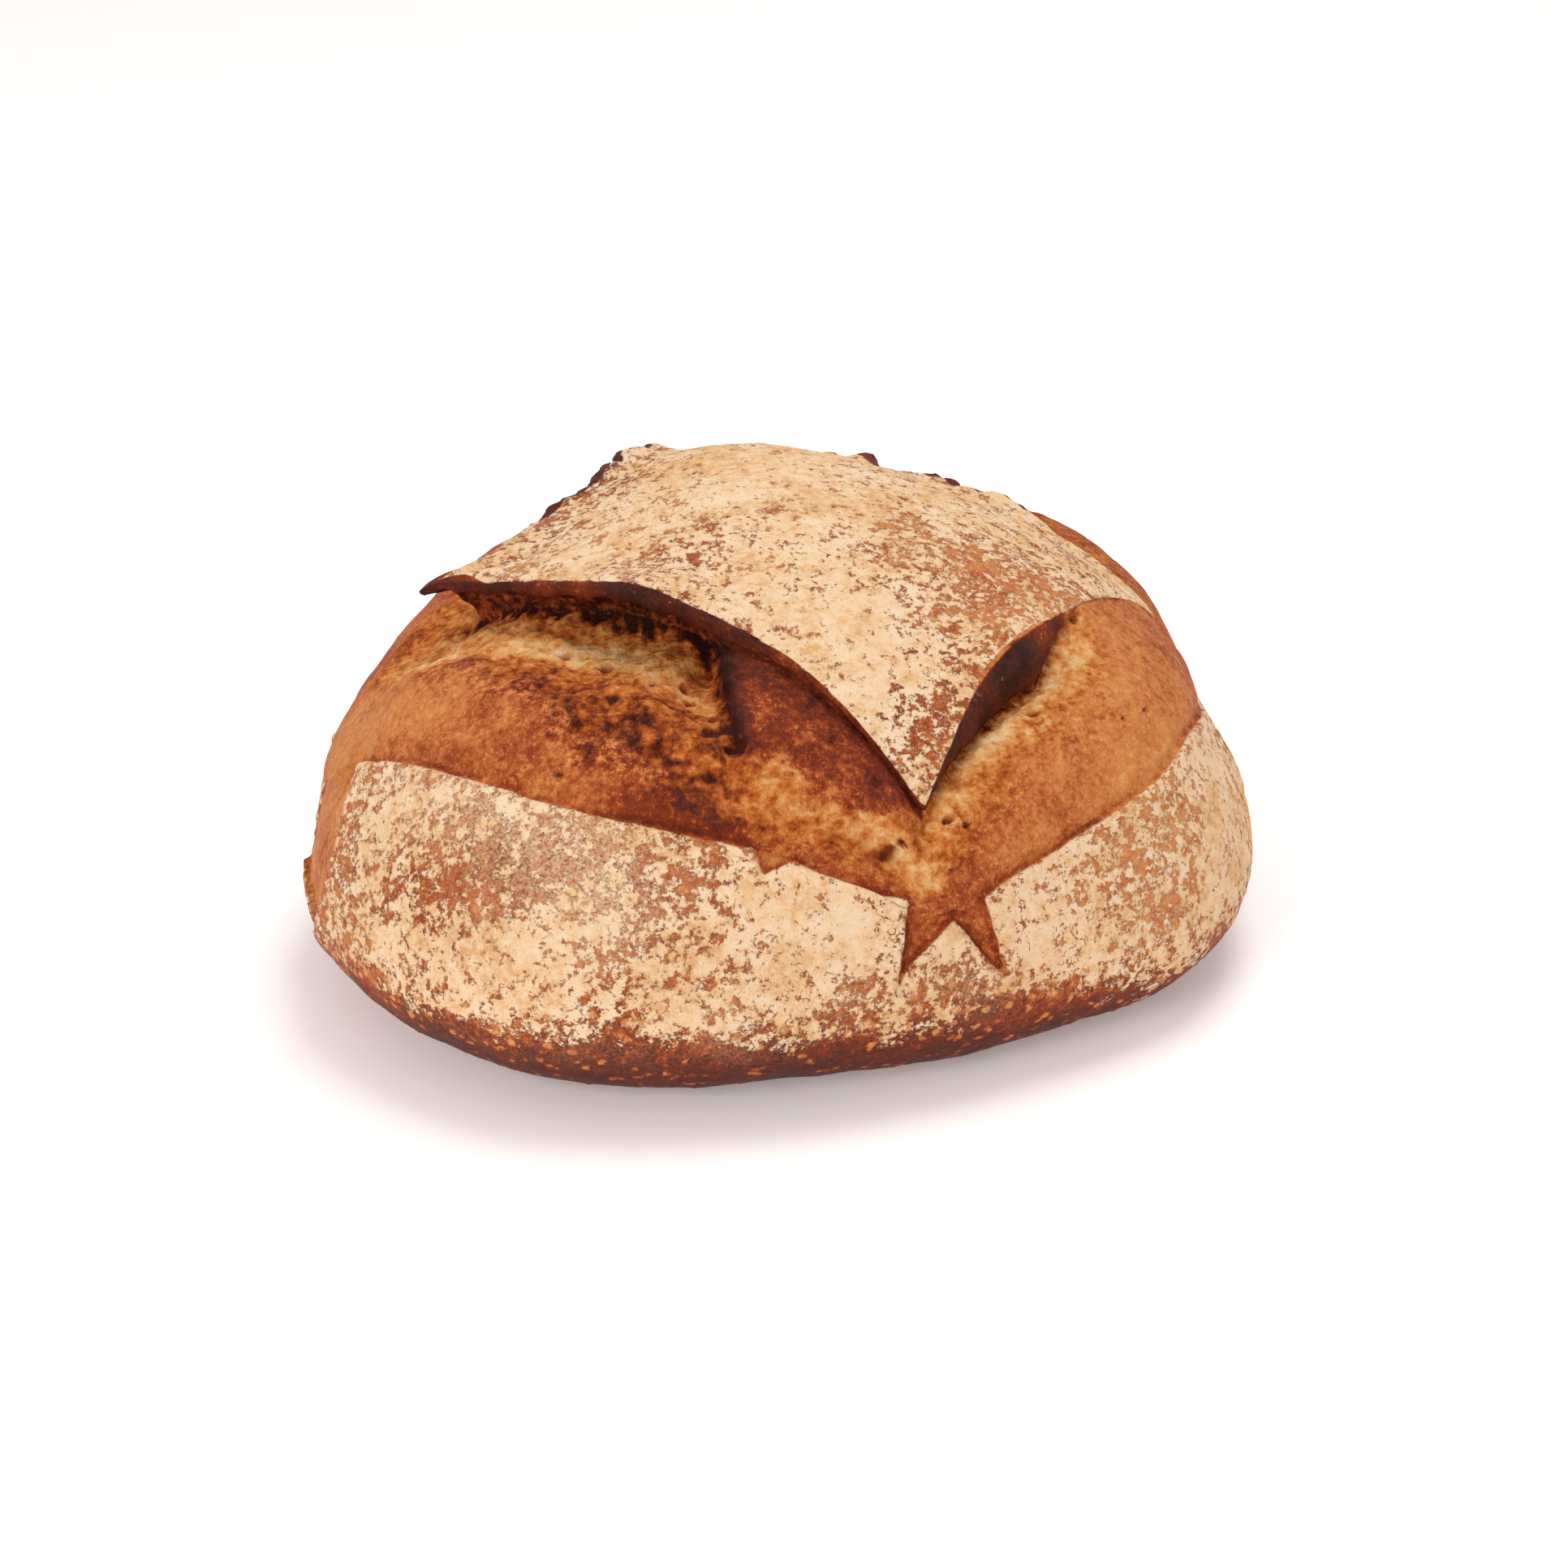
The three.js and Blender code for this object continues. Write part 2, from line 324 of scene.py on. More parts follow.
# Cap, from its middle to the rim
rows = shares(cap_rows)
cap_down = edge * rows
cap_flat = flat(turns + 0 * rows, cap_down)
crown_lean = np.zeros(cap_down.shape)
for spot, reach, height in crown_swells:
    crown_lean += height * np.exp(-((cap_flat - spot) ** 2).sum(-1) / reach ** 2)
cap_crown = 1.0 * (1 - rows ** 2) + lift * smoothstep(rows, 0.66, 1.0) ** 1.7 + crown_lean
lift = lift + crown_lean[-1]
cap = offset(turns + 0 * rows, cap_down, cap_crown, overhang * smoothstep(rows, 0.8, 1.0))

# Lip, rolled over from the rim to the underside
rows = shares(lip_rows)
roll = np.pi * rows
lip_down = edge + 0 * rows
lip_out = lift - 0.5 * thickness * (1 - np.cos(roll))
lip_along = 0.36 * thickness * np.sin(roll) + lean * rows ** 1.3
lip = offset(turns + 0 * rows, lip_down, lip_out, lip_along + overhang)

# Opened band: how far it lies below the dome. The pocket under the left ear ends in a sharp
# slanting wall with a curled ridge on it, past which a web of torn skin runs smooth and swollen
# to the front corner
ridge_turn = 253.2
ridge_slant = 16


def past_ridge(azimuth, share):
    """Degrees past the end of the pocket, which slants as it goes down."""
    return azimuth - ridge_turn - ridge_slant * share


def below(azimuth, share):
    """How far the opened band lies below the dome, mm."""
    past = past_ridge(azimuth, share)
    webbed = smoothstep(azimuth, 244, 250) * (1 - smoothstep(azimuth, 270, 285))
    turned = azimuth + (np.clip(past, -6, 6) + 252 - azimuth) * webbed
    pocket = webbed * (1 - smoothstep(past, -1.2, 1.2)) + bump(azimuth, 225, 28)
    hollow = around(ears, turned, 4) + 0 * share
    floor_end = 0.60 - 0.12 * smoothstep(azimuth, 289, 300) * (1 - smoothstep(azimuth, 330, 345))
    floor_start = 0.08 * np.clip(pocket, 0, 1) - 0.1 * (1 - np.clip(pocket, 0, 1))
    swell = 2.2 * np.sin(np.pi * np.clip((share - 0.3) / 0.75, 0, 1))
    swollen_web = smoothstep(past, 0, 3) * (1 - smoothstep(azimuth, 278, 288))
    web_swell = 3.0 * bump(share, 0.32, 0.34) * swollen_web
    valley = 3.2 * bump(share, 0.74, 0.2) * bump(azimuth, 276, 20)
    ridge = 2.2 * bump(past, 1.0, 2.4) * webbed * (1 - smoothstep(share, 0.5, 0.68))
    floor = hollow * (1 - smoothstep(share, floor_start, floor_end))
    return floor - swell - web_swell + valley - ridge


# Hollow, torn out under the ear
rows = shares(hollow_rows)
deep = -below(turns, 0 * turns)
start = np.stack([overhang + lean, lift - thickness])
middle = np.stack([0.8 * lean - 1.05 * undercut, lift - thickness - 0.2 * depth])
end = np.stack([lean - undercut, deep])
curve = [(1 - rows) ** 2 * start[i] + 2 * rows * (1 - rows) * middle[i] + rows ** 2 * end[i]
         for i in (0, 1)]
hollow_down = edge + 0 * rows
hollow = offset(turns + 0 * rows, hollow_down, curve[1], curve[0])

# Band, from the hollow to the skin of the wall
rows = shares(band_rows)
band_down = edge + (skin - edge) * rows
band_out = -below(turns + 0 * rows, rows + 0 * turns)
band_along = (lean - undercut) * (1 - smoothstep(rows, 0, 0.3))
band = offset(turns + 0 * rows, band_down, band_out, band_along)

# Wall, down to the girth
rows = shares(wall_rows)
wall_down = skin + (90 - skin) * rows
wall = offset(turns + 0 * rows, wall_down, 0 * wall_down)

# Foot, rolled in under the girth, and the flat base
rows = shares(foot_rows)
turned_in = rows * np.pi / 2
foot_down = 90 + 24 * rows + 0 * turns
foot = dome(turns, 90 + 0 * turns) * (foot_ratio + (1 - foot_ratio) * np.cos(turned_in))[..., None]
foot[..., 2] = girth_height * (1 - np.sin(turned_in))
rows = np.linspace(1, 0, base_rows)[:, None]
base_down = 114 + 40 * (1 - rows) + 0 * turns
base = dome(turns, 90 + 0 * turns) * (foot_ratio * rows)[..., None]
base[..., 2] = 0

sections = [cap, lip, hollow, band, wall, foot, base]
shape = np.concatenate(sections)
down = np.concatenate([cap_down, lip_down, hollow_down, band_down, wall_down, foot_down, base_down])
azimuth = np.broadcast_to(turns, down.shape)
zone = np.concatenate([np.full(len(part), i) for i, part in enumerate(sections)])[:, None]
CAP, LIP, HOLLOW, BAND, WALL, FOOT, BASE = range(7)
share = np.concatenate([np.linspace(0, 1, len(part), endpoint=False) for part in sections])[:, None]
share = share + 0 * down
middle_of_box = (shape.reshape(-1, 3).max(0) + shape.reshape(-1, 3).min(0)) / 2
shape[..., :2] -= middle_of_box[:2]


def facing(points):
    """Outward direction at each point of the surface."""
    across = np.roll(points, -1, 1) - np.roll(points, 1, 1)
    fall = np.gradient(points, axis=0)
    normal = np.cross(fall, across)
    normal /= np.maximum(np.linalg.norm(normal, axis=-1, keepdims=True), 1e-9)
    normal[0] = (0, 0, 1)
    normal[-1] = (0, 0, -1)
    return normal


# ---------------------------------------------------------------- where the crust changes
# The skin of the wall and of the cap is dusted with flour; the bread that tore open between
# them is bare. The skin of the wall is cut into at each crossing by the tails of two cuts.

cut_tails = [
    [(0.5, 73), (1.2, 80), (2, 87), (3.5, 83), (6, 78), (8.5, 83), (12, 87), (12, 72)],
    [(99, 72), (98, 80), (96.5, 88), (100, 84), (105, 78), (109, 84), (113, 88), (111, 71)],
    [(190, 71), (188, 82), (190, 94), (197, 88), (203, 96), (209, 92), (212, 83), (211.5, 74),
     (208, 64)],
    [(264.8, 62.6), (265.6, 66.8), (269.2, 64.6)],
    [(283.5, 72.4), (282.4, 79), (281.2, 86.5), (282.9, 82.6), (286, 79.4), (289.1, 76.6),
     (291.2, 80), (293.4, 84.5), (295.2, 86.8), (294.4, 80), (293.6, 74)],
]


def skin_outline():
    """The edge of the wall's skin on the rolled-out dome, with its tails."""
    stretches = {tail[0][0]: tail for tail in cut_tails}
    for turn in np.arange(0, 360, 2.5):
        if not any(min(tail)[0] - 1 < turn < max(tail)[0] + 1 for tail in cut_tails):
            stretches[turn] = [(turn, around(wall_edge, np.array([turn]))[0])]
    points = [point for turn in sorted(stretches) for point in stretches[turn]]
    return flat(*np.array(points).T)


def inside_distance(points, outline):
    """Distance to a closed outline, mm: positive outside it and negative inside."""
    nearest = np.full(points.shape[:-1], 1e9)
    inside = np.zeros(points.shape[:-1], bool)
    x, y = points[..., 0], points[..., 1]
    for start, end in zip(outline, np.roll(outline, -1, 0)):
        along = end - start
        reach = np.clip(((points - start) @ along) / (along @ along), 0, 1)
        gap = points - start - reach[..., None] * along
        nearest = np.minimum(nearest, np.hypot(gap[..., 0], gap[..., 1]))
        crosses = (start[1] > y) != (end[1] > y)
        with np.errstate(divide="ignore", invalid="ignore"):
            at = start[0] + (y - start[1]) * along[0] / along[1]
        inside ^= crosses & (x < at)
    return np.where(inside, -nearest, nearest)


def patches(spots):
    """The sum of soft round patches: azimuth, degrees down, size in mm, and strength."""
    total = np.zeros(down.shape)
    for turn, fall, size, strength in spots:
        away = np.linalg.norm(rolled_out - flat(turn, np.array(fall)), axis=-1)
        total += strength * np.exp(-(away / size) ** 2)
    return total


rolled_out = flat(azimuth, down)
in_band = (zone == BAND) * 1.0
height = shape[..., 2]

# How far in from the edge of the floury skin, mm: on the wall, and on the cap, where the flour
# stops short of the rim round the back and leaves the horn bare
on_skin = inside_distance(rolled_out, skin_outline())
on_skin = on_skin + 0.4 * rough(shape, 5, 21)
on_skin[zone[:, 0] < BAND] = -9
arc = np.linalg.norm(np.diff(shape, axis=0, prepend=shape[:1]), axis=-1).cumsum(0)
rim_row = int((zone == CAP).sum())
on_cap = arc[rim_row] - arc + 0.35 * rough(shape, 4, 22)
on_cap -= behind * (3.4 + 2.2 * rough(shape, 7, 23)) + 7 * horn + 1.4 * bump(azimuth, 311, 20)
on_cap -= 4 * bump(azimuth, 60, 32)
floury = np.maximum(on_cap, on_skin)

# How much flour cakes the skin: it was dusted on unevenly and has rubbed off in places
flour = 0.70 + 0.07 * rough(shape, 30, 31) + 0.12 * rough(shape, 12, 32)
flour += (zone <= CAP) * patches([
    (189, 8, 26, 0.25), (283, 33, 14, 0.22), (277, 45, 14, 0.22), (265, 25, 14, 0.18),
    (1, 12, 22, 0.12), (208, 28, 12, 0.15), (325, 26, 16, -0.24), (338, 33, 14, -0.22),
    (322, 16, 10, -0.2), (153, 27, 16, -0.3), (231, 17, 9, -0.2), (294, 50, 9, -0.30),
    (305, 40, 12, -0.26), (318, 33, 10, -0.2), (288, 49, 9, -0.45), (199, 35, 8, -0.3),
    (120, 45, 18, -0.25), (168, 34, 12, -0.3), (222, 22, 7, -0.2), (90, 20, 22, 0.15),
    (60, 38, 20, -0.15), (140, 12, 14, 0.15),
])
flour += (zone >= BAND) * patches([
    (232, 70, 12, -0.45), (240, 66, 12, -0.42), (257, 70, 12, -0.26), (262, 62, 8, -0.26),
    (252, 78, 9, -0.16), (225, 73, 10, -0.30), (245, 63, 12, -0.22), (233, 59, 12, -0.10),
    (219, 70, 8, 0.14), (224, 79, 10, 0.14), (240, 80, 13, 0.20), (247, 82, 12, 0.14),
    (268, 73, 14, 0.26), (277, 76, 14, 0.28), (270, 82, 12, 0.20), (277, 85, 8, -0.25),
    (288, 79, 6, 0.25), (290, 87, 11, -0.30), (300, 78, 13, 0.26), (308, 88, 8, 0.24),
    (316, 73, 14, -0.30), (318, 84, 14, -0.26), (324, 69, 12, -0.26), (331, 80, 12, 0.30),
    (336, 70, 12, 0.24), (203, 78, 22, -0.7), (210, 84, 12, -0.35), (196, 92, 16, -0.5),
    (256.5, 89, 4, 0.5), (20, 84, 24, 0.2), (48, 78, 20, -0.3), (75, 82, 26, 0.25),
    (98, 80, 18, -0.3), (130, 78, 26, 0.25), (158, 84, 22, -0.3), (172, 76, 16, 0.2),
])
bare_foot = 26 + 4.5 * rough(shape, 20, 33) + 3 * rough(shape, 6, 34) - 9 * bump(azimuth, 318, 22)
flour *= smoothstep(height, bare_foot - 10, bare_foot + 9)
flour = np.clip(flour, 0, 1.2) - 1.5 * (1 - smoothstep(height, bare_foot - 16, bare_foot - 1))

# A thin powder that greys the crust without caking it
dust = 0.10 + 0.10 * rough(shape, 18, 35) + patches([
    (245, 64, 15, 1.1), (250, 72, 10, 0.8), (232, 59, 13, 0.9), (222, 64, 9, 0.6),
    (274, 82, 12, 0.4), (292, 86, 12, 0.35), (262, 89, 10, 0.3), (338, 70, 16, 0.4),
    (200, 30, 20, 0.3), (300, 55, 8, 0.3), (40, 84, 24, 0.4), (140, 84, 24, 0.4),
])
dust = np.clip(dust, 0, 1) * smoothstep(floury, 0, 1.2) * smoothstep(height, 10, 24)

# The thick flour on the wall crazed as the dough stretched; on the cap it only wore to specks
crazed = (zone >= BAND) * smoothstep(flour, 0.7, 0.95)

# Torn crumb, from the ear down to a ragged line across the band, and the web of skin beside it
crumb_end = around([
    (0, 0.02), (14, 0.3), (30, 0.45), (90, 0.45), (105, 0.2), (120, 0.45), (180, 0.45),
    (196, 0.55), (206, 0.48), (214, 0.46), (222, 0.50), (230, 0.56), (238, 0.62), (246, 0.70),
    (257, 0.80), (266, 0.88), (280, 0.9), (286, 0.85), (292, 0.60), (300, 0.5), (312, 0.44),
    (322, 0.42), (330, 0.30), (336, 0.02),
], turns)
past = past_ridge(azimuth, share)
web_end = around([
    (240, 0.62), (262, 0.62), (272, 0.64), (281, 0.52), (285, 0.34), (289, 0.0),
], turns)
ragged = 0.07 * rough(shape, 10, 41) + 0.05 * rough(shape, 4, 42)
webbed = smoothstep(past, -0.3, 0.9) * (1 - smoothstep(azimuth, 286.5, 288.5))
webbed *= 1 - smoothstep(share + 1.5 * ragged, web_end - 0.12, web_end + 0.10)
crumb = in_band * (1 - smoothstep(share + ragged, crumb_end - 0.08, crumb_end + 0.08))
crumb *= 1 - webbed
caved = around([
    (4, 0.2), (18, 1), (190, 1), (251, 1), (255, 0.15), (287.8, 0.1), (293, 0.8), (324, 0.8),
    (332, 0.1),
], turns)
crumb = np.where(zone == HOLLOW, caved * smoothstep(share, 0.1, 0.5), crumb)

# How dark the bread has baked, with painted shade in places: 0 is pale crumb, 1 is a nearly black
# ear
low = (1 - smoothstep(height, 20, 44)) * (zone >= WALL)
bake_and_shade = 0.50 + 0.05 * rough(shape, 22, 51) + 0.035 * rough(shape, 6, 52) + 0 * down
bake_and_shade += 0.03 * smoothstep(floury, 0.5, 2.5)
bake_and_shade -= 0.09 * bump(azimuth, 208, 26) + 0.09 * bump(azimuth, 322, 34)
lip_bake = around([
    (4, 0.5), (20, 0.82), (105, 0.76), (190, 0.86), (206, 0.80), (218, 0.78), (238, 0.88),
    (250, 0.86), (259, 0.76), (272, 0.70), (284, 0.72), (290, 0.80), (298, 0.86), (312, 0.83),
    (322, 0.76), (329, 0.6), (336, 0.48),
], turns)
lip_bake = np.clip(lip_bake, 0.45, 0.95)
bake_and_shade = np.where(zone == LIP, lip_bake + 0.14 * rough(shape, 7, 53), bake_and_shade)
# Painted shade: the hollow is darker just under the lip
hollow_bake_and_shade = lip_bake + 0.10 * caved * (1 - share)
bake_and_shade = np.where(zone == HOLLOW, hollow_bake_and_shade, bake_and_shade)

# The crumb was drawn out into fibres as it tore. They run down from the rim, and under the left
# ear they fan out from one place. Lumps placed by angle, and along the fibre by a sixth of its
# length, come out as long thin streaks.
fanned = smoothstep(azimuth, 180, 192) * (1 - smoothstep(azimuth, 256, 286))
fan = rolled_out - fanned[..., None] * (-54, 33)
fan = np.arctan2(fan[..., 1], fan[..., 0])
fibres = np.stack([90 * np.cos(fan), 90 * np.sin(fan), 0.16 * arc], -1)
streaks = rough(fibres, 3.2, 54, 3)
# Painted shade on the crumb just under the ears and under the lip, ragged along the fibres
shaded = 0.05 * smoothstep(azimuth, 222, 246)
teeth = share + 0.09 * streaks
shade_under_ear = smoothstep(undercut, 2, 6) * (1 - smoothstep(teeth, shaded - 0.08, shaded + 0.10))
shade_under_lip = caved * (1 - smoothstep(share + 0.04 * streaks, 0.0, 0.09))

# Scorched places: the middle of the left pocket's floor, the ends of the crumb, the ridge of the
# web, the foot that met the stone, the rim of the cap at the back; painted shade on the skin's cut
# edge
singed = smoothstep(rough(shape, 8, 55) + 0.5 * rough(shape, 3, 56), -0.5, 0.9)
scorch = bump(azimuth - 14 * (share - 0.6), 249, 17) * bump(share, 0.63, 0.18)
edge_scorch = bump(share + ragged, crumb_end + 0.02, 0.13) * (1 - webbed)
edge_scorch *= smoothstep(azimuth, 203, 214) * (1 - 0.8 * smoothstep(azimuth, 256, 268))
ridge_scorch = bump(past, 0.2, 4.0) * smoothstep(azimuth, 244, 250)
ridge_scorch = ridge_scorch * (1 - smoothstep(share, 0.45, 0.62))
web_bake = 0.16 - 0.14 * smoothstep(share, 0.0, 0.4) + 0.07 * rough(shape, 7, 57)
bake_and_shade += in_band * (0.42 * scorch * (0.4 + 0.6 * singed) + 0.22 * edge_scorch * singed)
bake_and_shade += in_band * webbed * (0.11 + web_bake) + in_band * 0.3 * ridge_scorch
bake_and_shade += in_band * 0.16 * (1 - webbed) * bump(azimuth, 258, 20) * smoothstep(share, 0.7, 0.9)
# Painted shade: a darker line along the skin's cut edge
bake_and_shade += (0.10 + 0.07 * rough(shape, 6, 60)) * bump(on_skin, -0.5, 1.6) * (zone >= BAND)
bake_and_shade += 0.29 * (1 - smoothstep(height, 8, 34)) * (zone >= WALL)
rim_reach = arc[rim_row] - arc
at_rim = (zone == CAP) * (1 - smoothstep(rim_reach, 2, 9))
bake_and_shade += 0.34 * np.clip(behind + horn, 0, 1) * at_rim
bake_and_shade = np.clip(bake_and_shade, 0, 1)
mottle = np.clip(in_band * (0.9 * scorch + 0.7 * edge_scorch + 0.25 * webbed) + 0.2 * low, 0, 1)

# The tone of the crumb: cream where it is thick, golden, then singed to brown towards its edges
# Painted shade darkens it under the ears and all through the hollow under the lip
tone_and_shade = 0.50 + 0.13 * rough(shape, 11, 58) + 0.08 * rough(shape, 4, 59)
palest = around([
    (190, 0.44), (203, 0.40), (208, 0.32), (216, 0.27), (226, 0.20), (240, 0.21), (250, 0.27),
    (256, 0.40),
], turns)
tone_and_shade -= 0.33 * bump(share + 0.6 * ragged, palest, 0.13) * bump(azimuth, 226, 42)
tone_and_shade -= 0.10 * bump(azimuth, 202, 16)
tone_and_shade -= 0.34 * bump(azimuth, 309, 30) * bump(share, 0.2, 0.3)
tone_and_shade -= 0.24 * bump(azimuth, 284, 17) * bump(share, 0.66, 0.22)
tone_and_shade += (0.16 * smoothstep(share, 0.26, 0.42) + 0.62 * scorch * singed) * bump(azimuth, 240, 34)
tone_and_shade += 0.10 * smoothstep(share + ragged, crumb_end - 0.20, crumb_end)
left_pocket = 1 - smoothstep(azimuth, 280, 292)
# Painted shade under the ears and under the lip; the ridge is scorched
tone_and_shade += 0.52 * shade_under_ear + (0.12 + 0.23 * left_pocket) * shade_under_lip + 0.5 * ridge_scorch
# Painted shade: the crumb in the hollow under the ear is dark throughout
tone_and_shade = np.where(zone == HOLLOW, 0.75 + 0.2 * left_pocket - 0.15 * share, tone_and_shade)
tone_and_shade = np.clip(tone_and_shade, 0, 1)

# ---------------------------------------------------------------- the relief of the crust
# Uneven lumps from the rise, the crisp lip where the skin was cut, the torn and holed crumb,
# small blisters raised by steam on the bare crust, and the thickness of the flour.

normal = facing(shape)
relief = 0.35 * (zone == LIP) * (rough(shape, 4, 76) + streaks)
relief += 0.9 * rough(shape, 42, 61) + 0.45 * rough(shape, 15, 62) + 0.12 * rough(shape, 4, 63)
lip_of_skin = smoothstep(on_skin, -0.4, 0.5) * (1 - smoothstep(on_skin, 1.5, 9))
relief += 0.9 * lip_of_skin - 0.8 * bump(on_skin, -1.4, 2.4) * (zone >= BAND)
relief -= 1.3 * smoothstep(-on_skin, 0, 5) * (zone == WALL)
dusted = smoothstep(floury, 0.0, 0.7) * np.clip(flour, 0, 1)
relief += 0.35 * dusted * (1 + 0.5 * rough(shape, 3, 64))

torn = np.clip(crumb + 0.8 * (zone == HOLLOW) * caved, 0, 1)
warped = shape + 1.6 * np.stack([rough(shape, 5, seed) for seed in (71, 72, 73)], -1)
bubbled = smoothstep(1 - holes(warped, 6.0, 65) / 0.62)
bubbled += 0.6 * smoothstep(1 - holes(warped, 3.2, 66) / 0.62)
relief += torn * (0.9 * rough(shape, 6, 67) + 0.35 * streaks * (1 - smoothstep(share, 0.2, 0.5)))
relief -= torn * bubbled
puckered = 0.45 * singed * (scorch + edge_scorch) + 0.35 * webbed * rough(shape, 5, 68)
relief += in_band * (1 - torn) * puckered
pit = smoothstep(1 - holes(warped, 8.5, 74, 0.5) / 0.30) * smoothstep(torn, 0.5, 0.9)

# The bigger holes: azimuth, degrees down, half length and half width in mm, degrees turned
big_holes = [
    (281.4, 65.2, 2.6, 2.0, 20), (283.4, 64.2, 1.5, 1.1, 0), (200.8, 49, 5.0, 2.0, 20),
    (197.5, 52.5, 3.0, 1.3, 20), (257.6, 46.0, 3.0, 2.2, 40), (261, 48.9, 2.4, 1.4, 0),
    (272.2, 42.6, 2.6, 0.6, 65), (275.4, 48.4, 2.4, 0.6, 60), (281.0, 55.6, 1.8, 0.7, 60),
    (322.3, 54.6, 0.7, 0.6, 0), (327.4, 55, 0.8, 0.6, 0), (241.3, 37.2, 1.8, 1.3, 0),
    (243.2, 36, 1.2, 0.9, 0), (232, 35.4, 1.5, 1.1, 0), (251, 38.8, 1.4, 0.9, 60),
    (239.6, 53.5, 1.3, 0.7, 0), (290.8, 61.7, 1.4, 1.0, 0), (292.5, 63, 1.1, 0.8, 0),
    (222, 36, 1.6, 1.0, 0),
]
for turn, fall, length, width, slant in big_holes:
    gap = rolled_out - flat(turn, np.array(fall)) + 0.35 * rough(shape, 2.5, 75)[..., None]
    lie = np.radians(turn + 90 + slant)
    along, across = [gap @ (np.cos(lie + q), np.sin(lie + q)) for q in (0, np.pi / 2)]
    hole = 1 - smoothstep(np.hypot(along / length, across / width), 0.4, 1.25)
    pit = np.maximum(pit, hole * in_band)
relief -= 1.8 * pit

bare = (1 - smoothstep(floury, -0.5, 0.5) * smoothstep(flour, 0.15, 0.5)) * (1 - torn)
blister = smoothstep(1 - holes(shape, 3.4, 69, 0.5) / 0.40) * (0.3 + 0.7 * low)
relief += 0.30 * blister * bare * (zone >= BAND)

settled = smoothstep(height, 0.0, 5.0)
relief = np.where(zone == BASE, 0, relief * np.where(zone == FOOT, settled, 1))
shape = shape + normal * relief[..., None]
shape[..., 2] = np.maximum(shape[..., 2], 0)
shape[0] = shape[0].mean(0)
shape[-1] = shape[-1].mean(0)

# ---------------------------------------------------------------- the loaf itself
# The dough starts as a flat sheet. Its rows and columns are drawn out to the shape worked out
# above, with its two ends joined at the right-hand side, then the crust is thinned to an even,
# lighter mesh that keeps the sharp edges.

row_count = len(shape)
bpy.ops.mesh.primitive_grid_add(x_subdivisions=columns, y_subdivisions=row_count - 1, size=2)
loaf = bpy.context.object
loaf.name = "baked_loaf"
sheet = np.empty(len(loaf.data.vertices) * 3)
loaf.data.vertices.foreach_get("co", sheet)
sheet = (sheet.reshape(-1, 3) + 1) / 2
column = np.rint(sheet[:, 0] * columns).astype(int) % columns
row = np.rint(sheet[:, 1] * (row_count - 1)).astype(int)
loaf.data.vertices.foreach_set("co", (shape[row, column] * MM).ravel())
painted = {
    "floury": floury, "flour": flour, "dust": dust, "crumb": crumb, "bake_and_shade": bake_and_shade, "tone_and_shade": tone_and_shade,
    "pit": pit, "torn": torn, "mottle": mottle, "low": low, "crazed": crazed,
    "streaked": torn * np.clip(shade_under_ear + shade_under_lip + 0.25, 0, 1),
}
for name, values in painted.items():
    loaf.data.attributes.new(name, "FLOAT", "POINT")
    loaf.data.attributes[name].data.foreach_set("value", values[row, column].astype(np.float32))
loaf.data.attributes.new("fibres", "FLOAT_VECTOR", "POINT")
loaf.data.attributes["fibres"].data.foreach_set("vector", (fibres[row, column] * MM).ravel())
loaf.data.update()
bpy.ops.object.mode_set(mode="EDIT")
bpy.ops.mesh.select_all(action="SELECT")
bpy.ops.mesh.remove_doubles(threshold=0.00002)
bpy.ops.mesh.normals_make_consistent(inside=False)
bpy.ops.object.mode_set(mode="OBJECT")
thin = loaf.modifiers.new("thin", "DECIMATE")
triangles_made = 2 * columns * (row_count - 2)
triangles_kept = 190000
thin.ratio = triangles_kept / triangles_made
bpy.ops.object.modifier_apply(modifier="thin")
bpy.ops.object.shade_smooth()

# ---------------------------------------------------------------- the crust's finish
# Wheat crust from a hot hearth: matt cream flour over a satin red-brown crust that is nearly
# black on the ears, with pale torn crumb between them. Bread scatters light within itself, so
# it shines little.

crust, tree, shader = new_material("hearth_baked_sourdough_crust")
loaf.data.materials.clear()
loaf.data.materials.append(crust)
place = node(tree, "ShaderNodeTexCoord").outputs["Object"]
paint = {
    name: node(tree, "ShaderNodeAttribute", attribute_name=name).outputs["Fac"]
    for name in painted
}

# Random lumps from 0 to 1, all over the loaf: size in mm, layers of detail, and roughness
lump_kinds = {
    "flour_specks": (1.9, 8, 0.78),
    "flour_clumps": (5.0, 6, 0.72),
    "flour_thickness": (3.0, 7, 0.76),
    "flour_drifts": (16, 4, 0.6),
    "flour_grain": (1.2, 5, 0.75),
    "powder_grain": (0.9, 6, 0.75),
    "crazed_places": (10, 4, 0.6),
    "crust_mottle": (2.0, 8, 0.74),
    "crust_drift": (10, 3, 0.6),
    "crust_freckles": (0.9, 2, 0.6),
    "crust_grain": (2.0, 6, 0.7),
    "blister_edge": (1.8, 3, 0.6),
    "crumb_mottle": (2.6, 8, 0.74),
    "crumb_edge": (3.0, 8, 0.75),
}
lumps = {}
for name, (size, detail, roughness) in lump_kinds.items():
    lumps[name] = node(tree, "ShaderNodeTexNoise", {
        "Vector": place, "Scale": 1000 / size, "Detail": detail, "Roughness": roughness,
    }).outputs["Fac"]

# How the lumps move another value up and down: strength times the lumps less their middle, 0.5
swings = {}
for name, strength in {
    "flour_specks": 5.2, "flour_clumps": 3.2, "flour_drifts": 0.7, "flour_grain": 1.6,
    "crust_drift": 0.25, "blister_edge": 1.1, "crumb_mottle": 1.4, "crumb_edge": 2.6,
}.items():
    swings[name] = node(tree, "ShaderNodeMath", {0: lumps[name], 1: strength, 2: -0.5 * strength},
                        operation="MULTIPLY_ADD").outputs[0]

